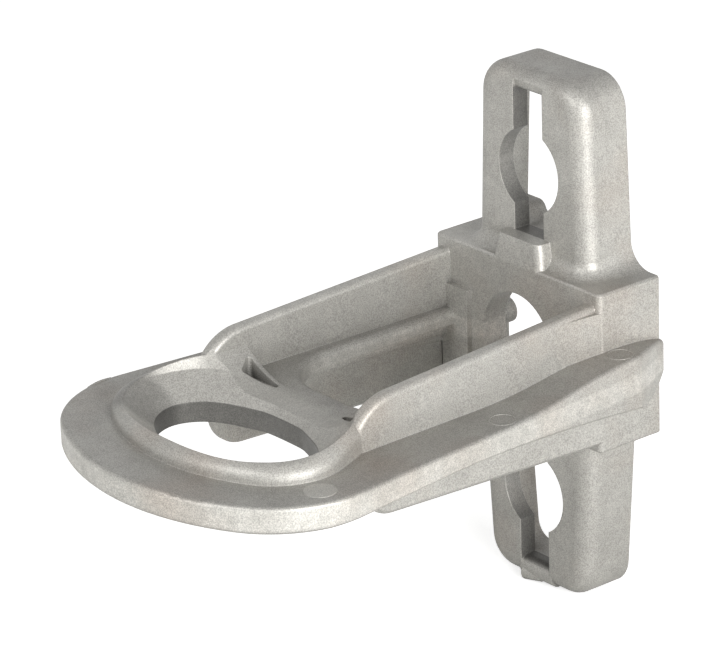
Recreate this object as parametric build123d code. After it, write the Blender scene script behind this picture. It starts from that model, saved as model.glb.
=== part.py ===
from build123d import *
import os
from math import acos, atan2, cos, degrees, hypot, radians, sin, sqrt

# Cable anchor bracket: one aluminium die casting, sizes in millimetres.
# X runs across the bracket, the arm reaches out along -Y and Z is up.
# Y = 0 is the pole face, and Z = 0 lies midway between the two bolt holes.

# Middle block, hollow from the pole side
block_half_width = 25.1
block_depth = 16.2
block_top = 16.5
block_bottom = -17.8
block_edge = 1.2
block_rim_edge = 0.4
block_front_wall = 6.0
block_side_wall = 4.0
block_hollow_top = 12.5
block_hollow_bottom = -13.5
centre_hole_radius = 10.4
centre_hole_height = -0.5
nub_radius = 2.75
nub_height = -4.0
nub_length = 4.0

# Pads on the block's front, in the corners under the rails
pad_inner = 14.0
pad_outer = 22.0
pad_proud = 1.4
pad_top = 6.8
pad_foot = -14.0

# Upper and lower tabs
tab_depth = 12.3
tab_end = 56.2
tab_front_wall = 4.0
tab_side_wall = 2.6
tab_end_wall = 3.0
tab_corner = 7.0
tab_front_round = 3.8
tab_foot_round = 3.2
flank_foot_round = 5.4
tab_hollow_corner = 4.0
upper_root_half_width = 17.2
upper_end_half_width = 15.5
lower_root_half_width = 17.8
lower_end_half_width = 15.0

# Cross wall between each tab's hollow and the block's hollow
cross_wall_end = 23.5
cross_channel_half_width = 9.0
cross_channel_end = 20.6
cross_channel_round = 2.6
cross_channel_shoulder = 2.2

# Keyholes: a round bolt hole in a full-height slot
bolt_hole_radius = 9.0
bolt_hole_height = 35.3
slot_half_width = 4.4
upper_slot_inner_end = 21.7
upper_slot_outer_end = 52.2
lower_slot_inner_end = 20.3
scoop_depth = 1.2
scoop_bottom = 51.0
scoop_top = 54.9

# Tongue under the upper slot, and a rounded lip and lug under the lower one
tongue_foot_half_width = 7.4
tongue_top_half_width = 6.2
tongue_round = 1.5
tongue_top_reach = 15.6
lip_radius = 2.3
lip_reach = 10.0
lug_radius = 2.0
lug_tip_radius = 0.9
lug_proud = 0.9
lug_drop = 1.3
lug_width = 5.6

# Nose plate and its two tapering side ledges
plate_top = 1.2
plate_bottom = -4.4
nose_reach = 118.2
nose_half_width = 39.3
nose_front_radius = 55.0
nose_corner_radius = 24.0
ledge_half_width = 31.6
ledge_end = 10.7
cap_end_half_width = 26.4
ledge_root_top = 4.1
ledge_rise_start = 49.0
ledge_end_top = 2.9
ledge_root_bottom = -7.4
ledge_mid_bottom = -5.2
ledge_mid = 30.0
ledge_nose_bottom = -3.5
ledge_drop_start = 56.0
underside_end_from_tip = 22.2
cap_bottom = -3.6
rim_top_edge = 0.9
rim_bottom_edge = 0.5

# Collar round the cable eye
collar_inset = 10.0
collar_front_top = 4.9
collar_rear_top = 7.4
collar_rear_from_tip = 38.9
collar_rise_from_tip = 20.2
collar_mid_from_tip = 30.2
collar_mid_top = 5.8
collar_end_from_tip = 42.2
collar_end_inset = 14.9
collar_round = 3.0
eye_half_width = 20.5
eye_front_length = 13.0
eye_rear_length = 11.2
eye_from_tip = 29.9
eye_edge_height = 0.0
eye_under_spread = 1.03
dish_rim_height = 4.7
dish_top = 12.5
dish_top_spread = 1.44

# Side rails above the plate and ribs below it
rail_root_outer = 23.6
rail_nose_outer = 25.2
rail_thickness = 3.4
rail_root_top = 14.8
rail_nose_top = 11.3
rail_front_from_tip = 39.7
rail_front_round = 8.8
rail_edge = 1.1
rail_flare_start = 26.0
rib_thickness = 2.8
rib_root_bottom = -16.6
rib_nose_bottom = -13.9
rib_front_from_tip = 40.7
rib_front_round = 7.5
rib_edge = 0.8

# Floor between the rails: a front bar and two rounded side beads round a window
window_half_width = 18.0
window_front_from_tip = 54.0
window_corner = 13.0
floor_half_width = 22.0
bar_front_from_tip = 42.2
bar_back_from_tip = 53.2
strip_top = 1.7
strip_bottom = -1.6
bead_round = 1.9

# Raised corners of the bar, cored out behind the eye
corner_back_from_tip = 49.6
corner_front_from_tip = 35.2
corner_start = 7.5
core_inner = 7.4
core_outer = 20.4
core_back_from_tip = 48.7
core_front_x = 17.6
core_front_from_tip = 44.7
core_bottom = 1.2
core_round = 0.7

# Reaches from the pole face of what is placed back from the nose's tip
nose_underside_end = nose_reach - underside_end_from_tip
collar_rear = nose_reach - collar_rear_from_tip
collar_rise_start = nose_reach - collar_rise_from_tip
collar_mid = nose_reach - collar_mid_from_tip
collar_end = nose_reach - collar_end_from_tip
eye_reach = nose_reach - eye_from_tip
rail_front = nose_reach - rail_front_from_tip
rib_front = nose_reach - rib_front_from_tip
window_front = nose_reach - window_front_from_tip
bar_front = nose_reach - bar_front_from_tip
bar_back = nose_reach - bar_back_from_tip
corner_back = nose_reach - corner_back_from_tip
corner_front = nose_reach - corner_front_from_tip
core_back = nose_reach - core_back_from_tip
core_front = nose_reach - core_front_from_tip

# Parts that join run into each other by the overlap, and cutters reach far beyond what they cut.
# Edges and faces are picked by place within the tolerance.
overlap = 1.0
rail_overlap = 3.0
far = 80.0
tolerance = 0.1


def across(face, half_width):
    """Solid swept both ways along X from a face drawn in the YZ plane."""
    return extrude(face, amount=half_width, both=True)


def side_face(*edges):
    """Face in the YZ plane, drawn with (y, z) points."""
    return Plane.YZ * make_face(edges)


def box(x0, x1, y0, y1, z0, z1):
    """Box between three pairs of limits."""
    return Pos((x0 + x1) / 2, (y0 + y1) / 2, (z0 + z1) / 2) * Box(x1 - x0, y1 - y0, z1 - z0)


def prism(points, z0, z1):
    """Upright prism over a plan polygon."""
    return extrude(Pos(0, 0, z0) * make_face(Polyline(*points, close=True)), amount=z1 - z0)


def edges_along(solid):
    """Edges in front of the block that run along the arm or up and down, not across it."""
    return [e for e in solid.edges() if abs(e.tangent_at(0.5).X) < 0.3 and e.center().Y < -block_depth]


def nose_face(inset, closing):
    """Plan of the nose drawn in by inset: front arc, corner arcs, tangent sides to the closing points."""
    half = nose_half_width - inset
    front = inset - nose_reach
    front_r, corner_r = nose_front_radius - inset, nose_corner_radius - inset
    centre_x = half - corner_r
    drop = sqrt((front_r - corner_r) ** 2 - centre_x ** 2)
    centre = Vector(centre_x, front + front_r - drop)
    turn = centre_x / (front_r - corner_r)
    first_angle = -degrees(acos(turn))
    side = Vector(*closing[0]) - centre
    last_angle = degrees(atan2(side.Y, side.X) - acos(corner_r / hypot(side.X, side.Y)))
    meet = (front_r * turn, front + front_r - front_r * sqrt(1 - turn ** 2))

    def on_corner(angle):
        return (centre.X + corner_r * cos(radians(angle)), centre.Y + corner_r * sin(radians(angle)))

    outline = [on_corner(last_angle)] + closing
    edges = [ThreePointArc((-meet[0], meet[1]), (0, front), meet)]
    for s in (1, -1):
        points = [meet, on_corner((first_angle + last_angle) / 2), outline[0]]
        edges.append(ThreePointArc(*[(s * x, y) for x, y in points]))
        edges += [Line((s * a[0], a[1]), (s * b[0], b[1])) for a, b in zip(outline, outline[1:])]
    edges.append(Line((-outline[-1][0], outline[-1][1]), outline[-1]))
    return make_face(edges)


# Nose plate and side ledges: a plan outline cut to a side profile
plate_plan = extrude(nose_face(0, [(ledge_half_width, -ledge_end), (cap_end_half_width, 0)]),
                     amount=far / 2, both=True)
top_bend = (-(ledge_rise_start + ledge_end) / 2, (plate_top + ledge_root_top) / 2)
plate_side = side_face(
    Line((-nose_reach - overlap, plate_bottom), (-nose_reach - overlap, plate_top)),
    Line((-nose_reach - overlap, plate_top), (-ledge_rise_start, plate_top)),
    TangentArc((-ledge_rise_start, plate_top), top_bend, tangent=(1, 0)),
    TangentArc((-ledge_end, ledge_root_top), top_bend, tangent=(-1, 0)),
    TangentArc((-ledge_end, ledge_root_top), (0, ledge_end_top), tangent=(1, 0)),
    Line((0, ledge_end_top), (0, cap_bottom)),
    ThreePointArc((0, cap_bottom), (-0.35 * ledge_end, 0.7 * ledge_root_bottom + 0.3 * cap_bottom),
                  (-ledge_end, ledge_root_bottom)),
    ThreePointArc((-ledge_end, ledge_root_bottom), (-ledge_mid, ledge_mid_bottom),
                  (-ledge_drop_start, ledge_nose_bottom)),
    ThreePointArc((-ledge_drop_start, ledge_nose_bottom),
                  (-(ledge_drop_start + nose_underside_end) / 2,
                   0.75 * ledge_nose_bottom + 0.25 * plate_bottom),
                  (-nose_underside_end, plate_bottom)),
    Line((-nose_underside_end, plate_bottom), (-nose_reach - overlap, plate_bottom)),
)
plate = plate_plan & across(plate_side, far)


def rim(solid, side):
    """Edges round the outline above (side 1) or below (side -1) Z = 0, without the lines across."""
    return [e for e in solid.edges() if min(side * v.Z for v in e.vertices()) > 0
            and (abs(e.tangent_at(0.5).X) < 0.999 or e.center().Y < -nose_underside_end - tolerance)]


plate = fillet(rim(plate, 1), rim_top_edge)
plate = chamfer([e for e in rim(plate, -1) if e.center().Y < -ledge_end], rim_bottom_edge)

# Collar: the nose outline drawn in, its top rising towards the rails
collar = extrude(Pos(0, 0, plate_bottom) * nose_face(
    collar_inset, [(nose_half_width - collar_end_inset, -collar_end)]), amount=far / 4)
collar = collar & across(side_face(
    Line((-nose_reach, -far), (-nose_reach, collar_front_top)),
    Line((-nose_reach, collar_front_top), (-collar_rise_start, collar_front_top)),
    Spline([(-collar_rise_start, collar_front_top), (-collar_mid, collar_mid_top),
            (-collar_rear, collar_rear_top)], tangents=[(1, 0), (1, 0)]),
    Line((-collar_rear, collar_rear_top), (-corner_back, collar_rear_top)),
    Line((-corner_back, collar_rear_top), (-corner_back, -far)),
    Line((-corner_back, -far), (-nose_reach, -far))), far)
crest = [e for e in collar.edges() if min(v.Z for v in e.vertices()) > collar_front_top - tolerance
         and min(v.Y for v in e.vertices()) < -collar_rear - tolerance
         and not all(abs(v.Y + collar_rise_start) < tolerance for v in e.vertices())]
collar = fillet(crest, collar_round)

# Raised corners of the bar between the rails
corner_edges = [Line((-corner_start, strip_top), (corner_start, strip_top)),
                Line((-floor_half_width, plate_bottom), (floor_half_width, plate_bottom))]
for s in (1, -1):
    top = (s * floor_half_width, collar_rear_top)
    corner_edges += [TangentArc((s * corner_start, strip_top), top, tangent=(s, 0)),
                     Line(top, (s * floor_half_width, plate_bottom))]
corners = extrude(Plane.XZ * make_face(corner_edges), amount=nose_reach)
corners = corners & box(-far, far, -corner_front, -corner_back, -far, far)

# Floor with its window
window = extrude(Pos(0, 0, -far / 2) * make_face(
    FilletPolyline((-window_half_width, 0), (-window_half_width, -window_front),
                   (window_half_width, -window_front), (window_half_width, 0),
                   radius=window_corner, close=False)
    + Line((window_half_width, 0), (-window_half_width, 0))), amount=far)
floor = box(-floor_half_width, floor_half_width, -bar_front, overlap - block_depth,
            strip_bottom, strip_top) - window


def window_edges(solid, height):
    """Edges of the window at a height, without those at the block."""
    return [e for e in solid.edges() if abs(e.center().X) < window_half_width + tolerance
            and -window_front - tolerance < e.center().Y < -block_depth
            and abs(e.center().Z - height) < tolerance]


floor = fillet(window_edges(floor, strip_top), bead_round)
floor = floor + box(-floor_half_width, floor_half_width, -bar_front, -bar_back,
                    plate_bottom, strip_bottom + overlap)

# Rails and lower ribs: narrow strips in plan cut to side profiles
rail_bend = rail_front_round - rail_front
rib_bend = rib_front_round - rib_front
rail_side = side_face(
    Line((-overlap, plate_bottom), (-overlap, rail_root_top)),
    Line((-overlap, rail_root_top), (rail_bend, rail_nose_top)),
    TangentArc((rail_bend, rail_nose_top), (-rail_front, collar_rear_top - overlap),
               tangent=(rail_bend + overlap, rail_nose_top - rail_root_top)),
    Line((-rail_front, collar_rear_top - overlap), (-rail_front, plate_bottom)),
    Line((-rail_front, plate_bottom), (-overlap, plate_bottom)),
)
rib_side = side_face(
    Line((-overlap, 0), (-overlap, rib_root_bottom)),
    Line((-overlap, rib_root_bottom), (rib_bend, rib_nose_bottom)),
    TangentArc((rib_bend, rib_nose_bottom), (-rib_front, plate_bottom - overlap),
               tangent=(rib_bend + overlap, rib_nose_bottom - rib_root_bottom)),
    Line((-rib_front, plate_bottom - overlap), (-rib_front, 0)),
    Line((-rib_front, 0), (-overlap, 0)),
)
rail_lean = (rail_nose_outer - rail_root_outer) / rail_front


def rail_outer(reach):
    """Half width over the rails at a reach from the pole face."""
    return rail_root_outer + rail_lean * reach


rail_root = block_depth - rail_overlap
rail = prism([(rail_outer(rail_root), -rail_root), (rail_nose_outer, -rail_front),
              (rail_nose_outer - rail_thickness, -rail_front),
              (rail_outer(rail_root) - rail_thickness, -rail_root)], -far, far)
rail = rail & across(rail_side, far)
rail = fillet([e for e in edges_along(rail) if e.center().Z > collar_front_top
               or e.center().Y < overlap - rail_front], rail_edge)
flare_inner = rail_root_outer - overlap
flare = extrude(Pos(0, 0, plate_bottom) * make_face([
    Spline([(rail_outer(rail_flare_start), -rail_flare_start), (block_half_width, -rail_root)],
           tangents=[(-rail_lean, 1), (rail_lean, 1)]),
    Line((block_half_width, -rail_root), (flare_inner, -rail_root)),
    Line((flare_inner, -rail_root), (flare_inner, -rail_flare_start)),
    Line((flare_inner, -rail_flare_start), (rail_outer(rail_flare_start), -rail_flare_start)),
]), amount=rail_root_top - 2 * rail_edge - plate_bottom)
rib = box(block_half_width - rib_thickness, block_half_width, -rib_front, -2 * overlap, -far, far)
rib = rib & across(rib_side, far)
rib = chamfer([e for e in edges_along(rib) if e.center().Z < plate_bottom - overlap], rib_edge)

# Core-outs in the raised corners, and pads at the rails' roots
core = prism([(core_inner, -core_back), (core_outer, -core_back), (core_front_x, -core_front)],
             core_bottom, far)
core = fillet(core.edges().filter_by(Axis.Z), core_round)
pad = box(pad_inner, pad_outer, -block_depth - pad_proud, overlap - block_depth, pad_foot, pad_top)

# Eye: a dish from the collar's crest down to an oval hole. The dish's rim is counted from its centre.
dish_rim = [(0, -17.3), (11, -16.3), (19.5, -12.9), (24.8, -7.2), (26.4, -0.2),
            (24.7, 6.1), (20.9, 11.1), (13, 14.1), (0, 14.7)]


def closed_outline(points, height):
    """Smooth closed outline round the eye's centre, through points on the right and mirrored."""
    halves = [Spline([(s * x, y) for x, y in points], tangents=[(s, 0), (-s, 0)]) for s in (1, -1)]
    return Pos(0, -eye_reach, height) * make_face(halves)


eye_points = [(eye_half_width * cos(radians(a)),
               (eye_front_length if a < 0 else eye_rear_length) * sin(radians(a)))
              for a in (-90 + 180 * i / (len(dish_rim) - 1) for i in range(len(dish_rim)))]
dish_outline = [(e[0] + dish_top_spread * (r[0] - e[0]), e[1] + dish_top_spread * (r[1] - e[1]))
                for e, r in zip(eye_points, dish_rim)]
eye_under = [(eye_under_spread * x, eye_under_spread * y) for x, y in eye_points]
eye = loft([closed_outline(eye_under, plate_bottom - overlap), closed_outline(eye_points, eye_edge_height),
            closed_outline(dish_rim, dish_rim_height), closed_outline(dish_outline, dish_top)], ruled=True)

arm = plate + collar
arm = arm - box(-floor_half_width, floor_half_width, -bar_front, -block_depth, -far, far)
arm = arm - box(-floor_half_width, floor_half_width, -corner_front, -corner_back, strip_top, far)
arm = arm + floor + corners - core - mirror(core, about=Plane.YZ)
for piece in (rail, flare, rib, pad):
    arm = arm + piece + mirror(piece, about=Plane.YZ)
arm = arm - eye

# Middle block
block = box(-block_half_width, block_half_width, -block_depth, 0, block_bottom, block_top)


def tab(root_half, end_half, root):
    """Outer form of one tab, tapering away from the block, rounded at its end and front."""
    inside = root_half + (root_half - end_half) * root / (tab_end - root)
    outline = make_face(Polyline((-inside, 0), (inside, 0), (end_half, tab_end), (-end_half, tab_end),
                                 close=True))
    solid = extrude(Plane.XZ * outline, amount=tab_depth)
    solid = fillet(solid.edges().filter_by(Axis.Y).group_by(Axis.Z)[-1], tab_corner)
    front = solid.faces().sort_by(Axis.Y)[0]
    return fillet([e for e in front.edges() if e.center().Z > overlap], tab_front_round)


def tab_hollow(root_half, end_half, root):
    """Hollow of one tab, open to the pole face, with a channel through the cross wall."""
    slope = (root_half - end_half) / (tab_end - root)
    low = root_half - slope * (cross_wall_end - root) - tab_side_wall
    high = end_half - tab_side_wall
    top = tab_end - tab_end_wall
    outline = make_face(Polyline((-low, cross_wall_end), (low, cross_wall_end), (high, top),
                                 (-high, top), close=True))
    solid = extrude(Plane.XZ * outline, amount=tab_depth - tab_front_wall)
    solid = fillet(solid.edges().filter_by(Axis.Y).group_by(Axis.Z)[-1], tab_hollow_corner)
    channel = box(-cross_channel_half_width, cross_channel_half_width, tab_front_wall - tab_depth, 0,
                  cross_channel_end, cross_wall_end + overlap)
    solid = solid + fillet(channel.edges().filter_by(Axis.Y).group_by(Axis.Z)[0], cross_channel_round)
    shoulders = [e for e in solid.edges().filter_by(Axis.Y)
                 if abs(e.center().Z - cross_wall_end) < tolerance
                 and abs(abs(e.center().X) - cross_channel_half_width) < tolerance]
    return fillet(shoulders, cross_channel_shoulder)


def flank_foot(root_half, end_half, root):
    """Wide concave foot of a tab's flank, shrinking forwards to the round of the front foot."""
    sections = []
    slope = (root_half - end_half) / (tab_end - root)
    wide = min(flank_foot_round, block_half_width - block_edge - root_half)
    for y, radius in ((0, wide), (tab_front_round - tab_depth, tab_foot_round)):
        x0, bend = root_half - overlap, radius * (1 - sqrt(0.5))
        sections.append(Plane.XZ.offset(-y) * make_face([
            Line((x0, root - overlap), (root_half + radius, root - overlap)),
            Line((root_half + radius, root - overlap), (root_half + radius, root)),
            ThreePointArc((root_half + radius, root), (root_half + bend - slope * bend, root + bend),
                          (root_half - slope * radius, root + radius)),
            Line((root_half - slope * radius, root + radius), (x0, root + radius)),
            Line((x0, root + radius), (x0, root - overlap))]))
    foot = loft(sections, ruled=True)
    return foot + mirror(foot, about=Plane.YZ)


upper = tab(upper_root_half_width, upper_end_half_width, block_top)
lower = mirror(tab(lower_root_half_width, lower_end_half_width, -block_bottom), about=Plane.XY)
body = block + upper + lower


def level_edges(solid):
    """Edges in the block's top and bottom planes."""
    return [e for e in solid.edges() if min(abs(e.center().Z - block_top),
                                            abs(e.center().Z - block_bottom)) < tolerance]


foot_edges = [e for e in level_edges(body) if overlap - block_depth < e.center().Y < -tolerance
              and abs(e.center().X) < block_half_width - overlap]
body = fillet(foot_edges, tab_foot_round)
body = body + flank_foot(upper_root_half_width, upper_end_half_width, block_top)
body = fillet([e for e in body.edges() if abs(abs(e.center().X) - block_half_width) < tolerance
               and abs(e.center().Y + block_depth) < tolerance], block_edge)
body = chamfer([e for e in level_edges(body) if e.center().Y < tolerance - block_depth
               or abs(e.center().X) > block_half_width - block_edge], block_rim_edge)

# Tongue in front of the upper slot
tongue = loft([Pos(0, -(reach + tab_depth - overlap) / 2, height)
               * Rectangle(2 * half_width, reach - tab_depth + overlap)
               for half_width, reach, height in (
                   (tongue_foot_half_width, block_depth, block_top - block_rim_edge),
                   (tongue_top_half_width, tongue_top_reach, upper_slot_inner_end))], ruled=True)
tongue = fillet([e for e in tongue.edges() if abs(e.tangent_at(0.5).Z) > 0.5
                 and e.center().Y < -tab_depth], tongue_round)

# Lip across the foot of the lower slot, with a tapering lug that starts at its left end
lip_half_width = slot_half_width + overlap / 2
lip_height = lip_radius - tab_end
lip = Pos(0, -lip_reach, lip_height) * Rot(0, 90, 0) * Cylinder(lip_radius, 2 * lip_half_width)
lip = lip + box(-lip_half_width, lip_half_width, -lip_reach, -tab_end_wall,
                lip_height - lip_radius, lip_height + lip_radius)
lug = Pos(lug_width / 2 - slot_half_width, -lip_reach - lug_proud, lip_height - lug_drop)
lug = lug * Rot(0, 90, 0) * Cone(lug_radius, lug_tip_radius, lug_width)
lip = lip + chamfer(lug.edges().filter_by(GeomType.CIRCLE), lug_tip_radius / 2)

block_hollow = box(block_side_wall - block_half_width, block_half_width - block_side_wall,
                   block_front_wall - block_depth, overlap, block_hollow_bottom, block_hollow_top)
bracket = body + tongue + arm - block_hollow
scoop = across(side_face(Polyline((-tab_depth - overlap, scoop_bottom), (-tab_depth - overlap, scoop_top),
                                  (-tab_depth, scoop_top), (scoop_depth - tab_depth, scoop_bottom),
                                  close=True)), slot_half_width)
bracket = bracket - scoop
for root_half, end_half, root, sign, inner_end, outer_end in (
        (upper_root_half_width, upper_end_half_width, block_top, 1,
         upper_slot_inner_end, upper_slot_outer_end),
        (lower_root_half_width, lower_end_half_width, -block_bottom, -1, lower_slot_inner_end, far)):
    hollow = tab_hollow(root_half, end_half, root)
    bracket = bracket - (hollow if sign > 0 else mirror(hollow, about=Plane.XY))
    hole = Pos(0, 0, sign * bolt_hole_height) * Rot(90, 0, 0) * Cylinder(bolt_hole_radius, far)
    z0, z1 = sorted((sign * inner_end, sign * outer_end))
    bracket = bracket - hole - box(-slot_half_width, slot_half_width, -far, -tab_depth / 2, z0, z1)
bracket = bracket + lip

centre_hole = Pos(0, -block_depth, centre_hole_height) * Rot(90, 0, 0) * Cylinder(
    centre_hole_radius, 2 * (block_front_wall + overlap))
bracket = bracket - centre_hole
for s in (1, -1):
    nub = Pos(s * (block_half_width - block_side_wall), -nub_length / 2, nub_height) * Rot(90, 0, 0)
    bracket = bracket + nub * Cylinder(nub_radius, nub_length)

os.makedirs("parts", exist_ok=True)
export_step(bracket, "parts/bracket_casting.step")
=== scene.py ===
# %% [markdown]
# Cable anchor bracket: one aluminium die casting that is bolted to a pole and holds a cable clamp
# in the oval eye at its nose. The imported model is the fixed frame: it gives the casting's
# shape and place in metres, with the pole face at Y = 0, the arm along -Y and Z up.

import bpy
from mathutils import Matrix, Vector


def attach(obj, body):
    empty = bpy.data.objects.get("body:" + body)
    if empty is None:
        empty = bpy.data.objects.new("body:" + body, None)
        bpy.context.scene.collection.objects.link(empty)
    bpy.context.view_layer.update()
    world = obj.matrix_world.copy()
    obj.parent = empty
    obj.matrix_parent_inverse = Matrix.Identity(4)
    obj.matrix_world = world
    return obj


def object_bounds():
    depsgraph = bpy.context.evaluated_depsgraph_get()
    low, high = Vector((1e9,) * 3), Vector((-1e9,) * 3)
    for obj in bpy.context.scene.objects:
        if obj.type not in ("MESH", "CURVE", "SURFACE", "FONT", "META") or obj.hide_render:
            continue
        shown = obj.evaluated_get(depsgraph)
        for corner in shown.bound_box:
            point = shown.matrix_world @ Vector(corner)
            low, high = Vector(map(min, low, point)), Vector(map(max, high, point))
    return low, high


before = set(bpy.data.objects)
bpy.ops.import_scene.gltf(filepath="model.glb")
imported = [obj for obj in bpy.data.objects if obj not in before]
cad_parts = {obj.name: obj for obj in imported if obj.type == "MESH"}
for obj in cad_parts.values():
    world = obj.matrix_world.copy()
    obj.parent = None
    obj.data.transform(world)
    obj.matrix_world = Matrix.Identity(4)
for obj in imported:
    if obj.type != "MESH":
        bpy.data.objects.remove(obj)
cad_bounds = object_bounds()
print("CAD box in metres:", cad_bounds)

# %% [markdown]
# Blender's Python gives the scene's data, a vector type and a matrix type. Everything below
# works in metres, so one small number turns the millimetres of the drawing into metres.

# %% Tools
from math import cos, pi, radians, sin

import bpy
from mathutils import Matrix, Vector

mm = 0.001
scene = bpy.context.scene
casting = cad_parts["bracket_casting"]
print("casting has", len(casting.data.polygons), "faces")

# %% [markdown]
# The photograph is taken with a long lens from the right of the arm, a little above it. The
# camera is set by its angle round the bracket and its height, then rolled slightly. An angle of
# 0 would look along +Y, straight at the nose. The lens is kept as a focal length in pixels, and
# turned into millimetres for a film 36 mm wide.

# %% Camera
view_azimuth, view_height, view_roll = radians(51.25), radians(22.18), radians(-1.89)
view_distance = 869 * mm
view_target = Vector((-2.64, -53.32, 11.01)) * mm
image_width, image_height = 716, 668
focal_pixels = 4381
centre_pixel = (366.29, 332.89)
film_width = 36
near_clip, far_clip = 0.01, 20


def view_axes():
    """Right, up and back directions of the camera."""
    back = Vector((sin(view_azimuth) * cos(view_height), -cos(view_azimuth) * cos(view_height),
                   sin(view_height)))
    level = Vector((cos(view_azimuth), sin(view_azimuth), 0))
    up = back.cross(level)
    right = level * cos(view_roll) + up * sin(view_roll)
    return right, up * cos(view_roll) - level * sin(view_roll), back


right, up, back = view_axes()
camera = bpy.data.objects.new("camera", bpy.data.cameras.new("camera"))
scene.collection.objects.link(camera)
camera.matrix_world = (Matrix.Translation(view_target + back * view_distance)
                       @ Matrix((right, up, back)).transposed().to_4x4())
camera.data.sensor_width = film_width
camera.data.lens = focal_pixels * film_width / image_width
camera.data.shift_x = (image_width / 2 - centre_pixel[0]) / image_width
camera.data.shift_y = (centre_pixel[1] - image_height / 2) / image_width
camera.data.clip_start, camera.data.clip_end = near_clip, far_clip
scene.camera = camera
print("lens", round(camera.data.lens, 1), "mm, shift", camera.data.shift_x, camera.data.shift_y)

# %% [markdown]
# Colours are written as the sRGB hex values that a picture shows. Shaders work in linear
# light, so one function turns them over. A second one adds a node, sets its values and links
# its inputs, so that each material reads as a short list.

# %% Helpers for materials


def linear(hex_colour):
    """Linear colour with alpha from an sRGB hex value."""
    parts = [int(hex_colour[i:i + 2], 16) / 255 for i in (1, 3, 5)]
    return tuple(c / 12.92 if c <= 0.04045 else ((c + 0.055) / 1.055) ** 2.4 for c in parts) + (1,)


def add_node(tree, kind, inputs=None, **settings):
    """Node of a kind, with settings on the node and values or links on its inputs."""
    node = tree.nodes.new(kind)
    for name, value in settings.items():
        setattr(node, name, value)
    for name, value in (inputs or {}).items():
        if isinstance(value, bpy.types.NodeSocket):
            tree.links.new(value, node.inputs[name])
        else:
            node.inputs[name].default_value = value
    return node


def new_material(name):
    """Material with an empty node tree."""
    material = bpy.data.materials.new(name)
    material.use_nodes = True
    material.node_tree.nodes.clear()
    return material, material.node_tree


print("aluminium grey is", [round(c, 3) for c in linear("#9b9994")])

# %% [markdown]
# A material is built from a few sums: a value moved to another range, a product, the larger of
# two values, a blend of colours, and noise of a real size.

# %% Shader sums


def spread(tree, value, low, high, to_low=0, to_high=1):
    """Value taken from one range to another, and held at its ends."""
    return add_node(tree, "ShaderNodeMapRange", {
        "Value": value, "From Min": low, "From Max": high, "To Min": to_low, "To Max": to_high
    }).outputs["Result"]


def multiply(tree, first, second):
    """Product of two colours or numbers."""
    return add_node(tree, "ShaderNodeVectorMath", {0: first, 1: second}, operation="MULTIPLY").outputs[0]


def larger(tree, first, second):
    """The larger of two numbers."""
    return add_node(tree, "ShaderNodeMath", {0: first, 1: second}, operation="MAXIMUM").outputs[0]


def blend_colours(tree, factor, first, second):
    """Colour between two colours, or links, by a factor."""
    node = tree.nodes.new("ShaderNodeMix")
    node.data_type = "RGBA"
    factor_socket, first_socket, second_socket = node.inputs[0], node.inputs[6], node.inputs[7]
    for socket, value in ((factor_socket, factor), (first_socket, first), (second_socket, second)):
        if isinstance(value, bpy.types.NodeSocket):
            tree.links.new(value, socket)
        else:
            socket.default_value = value
    return node.outputs[2]


def noise(tree, place, size, detail, roughness):
    """Noise whose features are about the given size in metres."""
    return add_node(tree, "ShaderNodeTexNoise", {
        "Vector": place, "Scale": 1 / size, "Detail": detail, "Roughness": roughness}).outputs["Fac"]


print("shader sums ready")

# %% [markdown]
# Some tones belong to a place on the casting. Each place is a middle and a reach along X, Y and
# Z. A distance from the middle is counted over one or two of the axes, so that 1 is the reach.

# %% Distances from a place
along_x, along_y, along_z, in_plan = (1, 0, 0), (0, 1, 0), (0, 0, 1), (1, 1, 0)


def from_middle(tree, place, middle, reach, axes):
    """Distance from a middle over some axes, where 1 is the reach."""
    away = add_node(tree, "ShaderNodeVectorMath", {0: place, 1: middle}, operation="SUBTRACT").outputs[0]
    away = multiply(tree, away, [a / r for a, r in zip(axes, reach)])
    return add_node(tree, "ShaderNodeVectorMath", {0: away}, operation="LENGTH").outputs["Value"]


def tone_within(tree, tone, distances):
    """A tone where all distances are within their reach, and 1 outside."""
    furthest = 0.0
    for distance in distances:
        furthest = larger(tree, distance, furthest)
    return spread(tree, furthest, 0.98, 1.02, tone, 1)


print("axes for a distance:", along_x, along_y, along_z, in_plan)

# %% [markdown]
# Painted shade darkens the walls that little light reaches: the wall of the cable eye, the walls
# of the keyholes, whose round holes are a little paler than their slots, and tight corners and
# pockets, such as the small cored pockets in front of the window. These corners and pockets are
# found by how much of their surroundings is hidden within a few millimetres.

# %% Painted shade in the recesses
# How far the painted shade darkens the recesses.
recess_shade_tone = 0.4
eye_shade_tone = 0.9 * recess_shade_tone
round_hole_shade_tone = 1.6 * recess_shade_tone
pocket_width = 6 * mm
eye_middle, eye_reach = Vector((0, -88.7, -3)) * mm, Vector((21.6, 13.6, 3.1)) * mm
keyhole_middle, keyhole_reach = Vector((0, 10.3, 36.2)) * mm, Vector((9.1, 1.9, 16.1)) * mm
slot_share = 0.55


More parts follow.
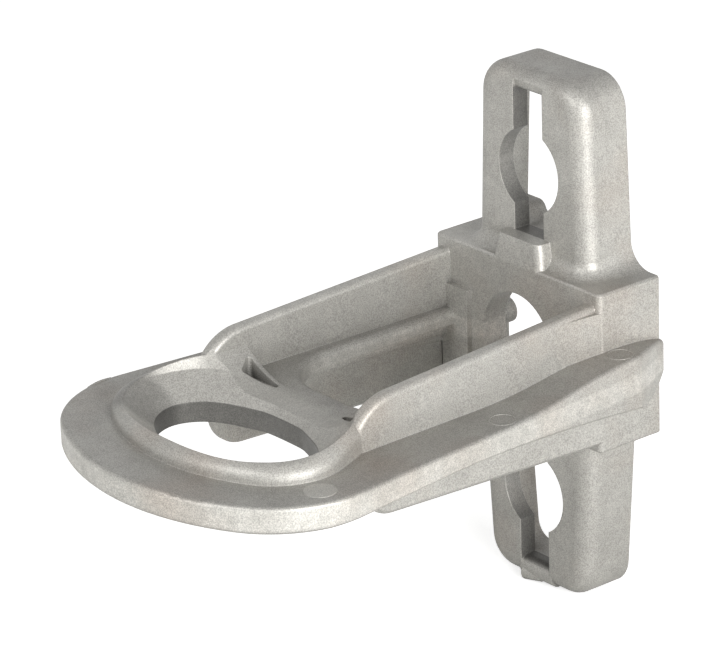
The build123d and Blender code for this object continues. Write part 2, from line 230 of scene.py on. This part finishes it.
def painted_recess_shade_tones(tree, place):
    """Painted shade in tight corners and pockets, in the cable eye and in both keyholes."""
    # Painted shade in every tight corner, by how much is hidden within a few millimetres.
    open_share = add_node(tree, "ShaderNodeAmbientOcclusion", {"Distance": pocket_width}, samples=8).outputs["AO"]
    pockets = spread(tree, open_share, 0.15, 0.42, recess_shade_tone, 1)
    eye = tone_within(tree, eye_shade_tone, [
        from_middle(tree, place, eye_middle, eye_reach, axes) for axes in (in_plan, along_z)])
    either_side = add_node(tree, "ShaderNodeVectorMath", {0: place}, operation="ABSOLUTE").outputs[0]
    across, deep, high = [from_middle(tree, either_side, keyhole_middle, keyhole_reach, axes)
                          for axes in (along_x, along_y, along_z)]
    # Painted shade on the keyholes' walls, a little paler in the round holes.
    keyhole_shade_tone = spread(tree, across, slot_share, 1, recess_shade_tone, round_hole_shade_tone)
    return [pockets, eye, tone_within(tree, keyhole_shade_tone, [across, deep, high])]


print("recess tones:", recess_shade_tone, eye_shade_tone, round_hole_shade_tone)

# %% [markdown]
# Painted shade darkens the faces that look up, on the ledges, the nose and the tabs' tops, where
# light from the side leaves them darker. The rails and the dish are left out of it. A painted
# shadow darkens one patch at the left end of the dish, and a painted highlight lightens the edge
# of the nose in patches.

# %% Painted shade, painted shadow and painted highlight
# How far the painted shade on the tops, the painted shadow in the dish and the painted highlight on the nose's
# edge darken or lighten.
top_shade_tone, dish_shadow_tone, edge_highlight_tone = 0.76, 0.66, 1.3
rail_middle, rail_reach = Vector((0, -50, 16)) * mm, Vector((1, 33, 9)) * mm
# Where the painted shadow in the dish lies.
dish_shadow_middle, dish_shadow_reach = Vector((-21.5, -95, 3)) * mm, Vector((8, 8, 8)) * mm
nose_middle, nose_reach = Vector((0, -84, -1.5)) * mm, Vector((30, 30, 2.3)) * mm
# Size of the patches of the painted highlight on the nose's edge.
highlight_patch = 2.2 * mm


def painted_shade_and_highlight_tones(tree, place, normal):
    """Painted shade on upper faces, painted shadow in the dish, painted highlight on the nose's edge."""
    # Painted shade on the faces that look up, left off the rails and the dish.
    upward = spread(tree, add_node(tree, "ShaderNodeSeparateXYZ", {0: normal}).outputs["Z"], 0.5, 0.95)
    above_or_below = spread(tree, from_middle(tree, place, rail_middle, rail_reach, along_z), 0.6, 1.4)
    ahead_or_behind = spread(tree, from_middle(tree, place, rail_middle, rail_reach, along_y), 0.98, 1.4)
    off_rails = larger(tree, above_or_below, ahead_or_behind)
    off_dish = spread(tree, from_middle(tree, place, eye_middle, eye_reach, in_plan), 1.3, 1.6)
    shaded_tops = multiply(tree, upward, multiply(tree, off_rails, off_dish))
    # Painted shadow on one patch at the left end of the dish.
    dish_shadow = spread(tree, from_middle(tree, place, dish_shadow_middle, dish_shadow_reach, in_plan), 0.75, 1.05, dish_shadow_tone, 1)
    # Painted highlight along the nose's edge, broken into patches.
    outer = spread(tree, from_middle(tree, place, nose_middle, nose_reach, in_plan), 1, 1.1)
    edge = spread(tree, from_middle(tree, place, nose_middle, nose_reach, along_z), 0.75, 1.05, 1, 0)
    patches = spread(tree, noise(tree, place, highlight_patch, 3.0, 0.7), 0.4, 0.6, 0.5, 1)
    edge_highlight = multiply(tree, multiply(tree, outer, edge), patches)
    return [spread(tree, shaded_tops, 0, 1, 1, top_shade_tone), dish_shadow, spread(tree, edge_highlight, 0, 1, 1, edge_highlight_tone)]


# Prints the tones of the painted shade, the painted shadow and the painted highlight.
print("dust and rubbing tones:", top_shade_tone, dish_shadow_tone, edge_highlight_tone)

# %% [markdown]
# The bracket is a raw die casting that was shot blasted: aluminium under a thin oxide, with a
# pale, slightly warm grey. The oxide scatters about half of the light, so the skin is rather
# rough and less than half metallic. The shot leaves dimples about a quarter of a millimetre
# wide, which sparkle finely, and it rounds the edges. Oxide and die lubricant leave dull clouds
# about 11 mm wide, fainter blotches between them and a brown stain in wide patches.

# %% Shot-blasted cast aluminium
shot_dimple, dimple_depth, dimple_strength = 0.25 * mm, 0.02 * mm, 0.6
blasted_edge = 0.3 * mm
oxide_cloud, blotch_size, stain_patch = 11 * mm, 1.4 * mm, 30 * mm
clouded_skin, pale_skin = linear("#a2a09b"), linear("#adaba6")
stain_colour, stain_strength = linear("#a3978c"), 0.55
dimple_shade, dimple_glint = linear("#e2e2e2"), (1.2, 1.2, 1.19, 1)
blotch_depth = 0.04
metal_share = 0.45
cloud_roughness, pale_roughness = 0.52, 0.43


def cast_aluminium(name, paleness):
    """Raw aluminium casting, shot blasted: matt, finely grained and clouded."""
    material, tree = new_material(name)
    own = add_node(tree, "ShaderNodeTexCoord").outputs
    place = own["Object"]
    grain = noise(tree, place, shot_dimple, 2.0, 0.6)
    cloud = noise(tree, place, oxide_cloud, 4.0, 0.6)
    stain = noise(tree, place, stain_patch, 3.0, 0.55)
    skin = blend_colours(tree, spread(tree, cloud, 0.35, 0.65), clouded_skin, pale_skin)
    skin = blend_colours(tree, spread(tree, stain, 0.5, 0.75, 0, stain_strength), skin, stain_colour)
    colour = multiply(tree, skin, blend_colours(tree, spread(tree, grain, 0.38, 0.62), dimple_shade, dimple_glint))
    blotch = spread(tree, noise(tree, place, blotch_size, 2.0, 0.5), 0.35, 0.65,
                    (1 - blotch_depth) * paleness, (1 + blotch_depth) * paleness)
    # The colour takes the painted shade of the recesses and the tops, the painted shadow in the dish and the
    # painted highlight on the nose's edge.
    for tone in [blotch, *painted_recess_shade_tones(tree, place), *painted_shade_and_highlight_tones(tree, place, own["Normal"])]:
        colour = multiply(tree, colour, tone)
    edge = add_node(tree, "ShaderNodeBevel", {"Radius": blasted_edge}, samples=6)
    bump = add_node(tree, "ShaderNodeBump", {
        "Height": grain, "Strength": dimple_strength, "Distance": dimple_depth, "Normal": edge.outputs["Normal"]})
    shader = add_node(tree, "ShaderNodeBsdfPrincipled", {
        "Base Color": colour, "Metallic": metal_share,
        "Roughness": spread(tree, cloud, 0.35, 0.65, cloud_roughness, pale_roughness),
        "Normal": bump.outputs["Normal"]})
    add_node(tree, "ShaderNodeOutputMaterial", {"Surface": shader.outputs["BSDF"]})
    return material


aluminium = cast_aluminium("shot_blasted_cast_aluminium", paleness=1)
casting.data.materials.clear()
casting.data.materials.append(aluminium)
print("casting material:", casting.data.materials[0].name)

# %% [markdown]
# The mould left a few marks on the upper faces. Each mark is a thin shape that is laid on the
# casting: its points are given in plan and dropped on to the surface. Its underside is sunk a
# little, so that no gap shows.

# %% Shapes laid on the surface
drop_height = 0.1
sunk = -0.1 * mm
around = 48


def circle(middle, radius):
    """Places round a circle in plan."""
    turns = [2 * pi * i / around for i in range(around)]
    return [middle + Vector((cos(turn), sin(turn))) * radius for turn in turns]


def top_height(place):
    """Height of the casting's upper surface over a place in plan."""
    hit, point, _, _ = casting.ray_cast(Vector((*place, drop_height)), Vector((0, 0, -1)))
    if not hit:
        raise ValueError(f"no casting under {place}")
    return point.z


def bead_on_top(path, width, height, closed):
    """Vertices and faces of a low bead along a path in plan. An open one tapers to its ends."""
    points, faces = [], []
    steps = len(path)
    for i, place in enumerate(path):
        ahead = path[(i + 1) % steps] if closed or i < steps - 1 else place
        behind = path[i - 1] if closed or i > 0 else place
        along = (ahead - behind).normalized()
        across = Vector((along.y, -along.x)) * width
        ground = top_height(place)
        rise = height if closed else height * sin(pi * (i + 0.5) / steps)
        for share, up in ((-0.5, sunk), (-0.2, rise), (0.2, rise), (0.5, sunk)):
            points.append((*(place + across * share), ground + up))
    for i in range(steps if closed else steps - 1):
        here, there = 4 * i, 4 * ((i + 1) % steps)
        faces += [(here + k, here + (k + 1) % 4, there + (k + 1) % 4, there + k) for k in range(4)]
    if not closed:
        last = 4 * (steps - 1)
        faces += [(3, 2, 1, 0), (last, last + 1, last + 2, last + 3)]
    return points, faces


def disc_on_top(middle, radius, height):
    """Vertices and faces of a thin disc laid on the surface, with a softened rim."""
    points, faces = [(*middle, top_height(middle) + height)], []
    rings = ((0.5, height), (0.93, height), (1, 0.4 * height), (1, sunk))
    for share, up in rings:
        points += [(*place, top_height(place) + up) for place in circle(middle, radius * share)]
    for i in range(around):
        after = (i + 1) % around
        faces.append((0, 1 + i, 1 + after))
        for ring in range(len(rings) - 1):
            first = 1 + ring * around
            faces.append((first + i, first + around + i, first + around + after, first + after))
    underside = range(1 + (len(rings) - 1) * around, 1 + len(rings) * around)
    faces.append(tuple(reversed(underside)))
    return points, faces


print("casting's top over the nose:", round(top_height(Vector((0, -115)) * mm) / mm, 2), "mm")

# %% [markdown]
# Ejector pins pressed round marks into the ledges. One on the nose shows as a pale disc, and two
# behind it as thin raised rings, which the left ledge has too. A short burr of metal lies on the
# nose's left edge.

# %% Mould marks
disc_middle, disc_radius, disc_height = Vector((33.2, -94.4)) * mm, 3.3 * mm, 0.08 * mm
pressed_paleness = 1.3
ring_middles = [Vector((31.6, -47.6)) * mm, Vector((28.0, -13.3)) * mm]
ring_radius, ring_width, ring_height = 2.6 * mm, 0.3 * mm, 0.09 * mm
burr_front, burr_rear = Vector((-38.0, -96.5)) * mm, Vector((-38.7, -90.2)) * mm
burr_width, burr_height, burr_steps = 0.7 * mm, 0.3 * mm, 12


def mark_piece(name, material, shapes):
    """One mesh of several shapes, carried by the casting."""
    points, faces = [], []
    for shape_points, shape_faces in shapes:
        faces += [tuple(len(points) + k for k in face) for face in shape_faces]
        points += shape_points
    mesh = bpy.data.meshes.new(name)
    mesh.from_pydata(points, [], faces)
    piece = bpy.data.objects.new(name, mesh)
    scene.collection.objects.link(piece)
    piece.data.materials.append(material)
    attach(piece, "root")
    print(name, "has", len(mesh.polygons), "faces")


left_middles = [Vector((-middle.x, middle.y)) for middle in ring_middles]
mark_piece("pin_rings", aluminium, [
    bead_on_top(circle(middle, ring_radius), ring_width, ring_height, closed=True)
    for middle in ring_middles + left_middles])
burr_path = [burr_front.lerp(burr_rear, i / burr_steps) for i in range(burr_steps + 1)]
mark_piece("edge_burr", aluminium, [bead_on_top(burr_path, burr_width, burr_height, closed=False)])
mark_piece("pin_disc", cast_aluminium("pin_pressed_cast_aluminium", pressed_paleness),
           [disc_on_top(disc_middle, disc_radius, disc_height)])

# %% [markdown]
# The photograph has a plain white ground with next to no shadow. The floor is a wide pale plane
# just under the lowest point of the bracket, and takes the bracket's soft shadow. To the camera
# and in reflections it glows a little, as a lit white table does, so that it ends as white as
# the wall. In reflections it is darker near the bracket, which shades it there. One function
# finds those rays, and the world uses it again.

# %% Floor
floor_half = 3.0
floor_gap = 0.2 * mm
floor_height = cad_bounds[0][2] - floor_gap
table_glow = 0.7
shade_middle, shade_reach = Vector((0, -50, 0)) * mm, Vector((190, 190, 190)) * mm
shade_tone = 0.15


def seen_rays(tree):
    """1 for the camera's rays and for rays that a surface mirrors or lets through, else 0."""
    rays = add_node(tree, "ShaderNodeLightPath").outputs
    return larger(tree, larger(tree, rays["Is Camera Ray"], rays["Is Glossy Ray"]), rays["Is Transmission Ray"])


def pale_floor():
    """White paper: a diffuse surface that glows a little to the camera and in reflections."""
    material, tree = new_material("white_paper_ground")
    paper = add_node(tree, "ShaderNodeBsdfDiffuse", {"Color": linear("#f4f4f2")})
    place = add_node(tree, "ShaderNodeTexCoord").outputs["Object"]
    unshaded = spread(tree, from_middle(tree, place, shade_middle, shade_reach, in_plan), 0.3, 1, shade_tone, 1)
    unshaded = larger(tree, add_node(tree, "ShaderNodeLightPath").outputs["Is Camera Ray"], unshaded)
    strength = spread(tree, multiply(tree, seen_rays(tree), unshaded), 0, 1, 0, table_glow)
    glow = add_node(tree, "ShaderNodeEmission", {"Color": (1, 1, 1, 1), "Strength": strength})
    both = add_node(tree, "ShaderNodeAddShader", {0: paper.outputs["BSDF"], 1: glow.outputs["Emission"]})
    add_node(tree, "ShaderNodeOutputMaterial", {"Surface": both.outputs["Shader"]})
    return material


ground = bpy.data.meshes.new("ground")
ground.from_pydata([(x * floor_half, y * floor_half, floor_height)
                    for x, y in ((-1, -1), (1, -1), (1, 1), (-1, 1))], [], [(0, 1, 2, 3)])
floor = bpy.data.objects.new("ground", ground)
scene.collection.objects.link(floor)
floor.data.materials.append(pale_floor())
print("floor at", round(floor_height / mm, 1), "mm")

# %% [markdown]
# The light is a soft studio light. A large panel stands on the right and makes the flanks pale.
# A smaller one in front and above lights the front faces of the block and the upper tab, while
# the arm shades the lower tab. The white surroundings do the rest, and leave the upper faces
# grey. Each panel is placed by its direction round the bracket, counted as the camera's is, its
# height as an angle and its distance.

# %% Light


def panel(name, turn, rise, distance, width, height, watts):
    """Soft panel lamp in a direction in degrees, facing the bracket, with sizes in metres."""
    lamp = bpy.data.lights.new(name, "AREA")
    lamp.shape, lamp.size, lamp.size_y, lamp.energy = "RECTANGLE", width, height, watts
    made = bpy.data.objects.new(name, lamp)
    scene.collection.objects.link(made)
    away = Vector((sin(radians(turn)) * cos(radians(rise)), -cos(radians(turn)) * cos(radians(rise)),
                   sin(radians(rise))))
    made.location = view_target + away * distance
    made.rotation_euler = (-away).to_track_quat("-Z", "Y").to_euler()


panel("right_panel", turn=78, rise=12, distance=0.8, width=0.5, height=0.4, watts=7.8)
panel("front_panel", turn=2, rise=33, distance=0.9, width=0.3, height=0.2, watts=2.4)

# %% [markdown]
# The room is white. To the camera and in reflections it has full strength, and as diffuse light
# it is faint, so that the panels still shape the casting.

# %% Room
room_light = 0.27
world = bpy.data.worlds.new("white_studio")
world.use_nodes = True
world.node_tree.nodes.clear()
scene.world = world
sky = add_node(world.node_tree, "ShaderNodeBackground", {
    "Color": (1, 1, 1, 1),
    "Strength": spread(world.node_tree, seen_rays(world.node_tree), 0, 1, room_light, 1)})
add_node(world.node_tree, "ShaderNodeOutputWorld", {"Surface": sky.outputs["Background"]})
scene.view_settings.view_transform = "Standard"
print("view transform:", scene.view_settings.view_transform)
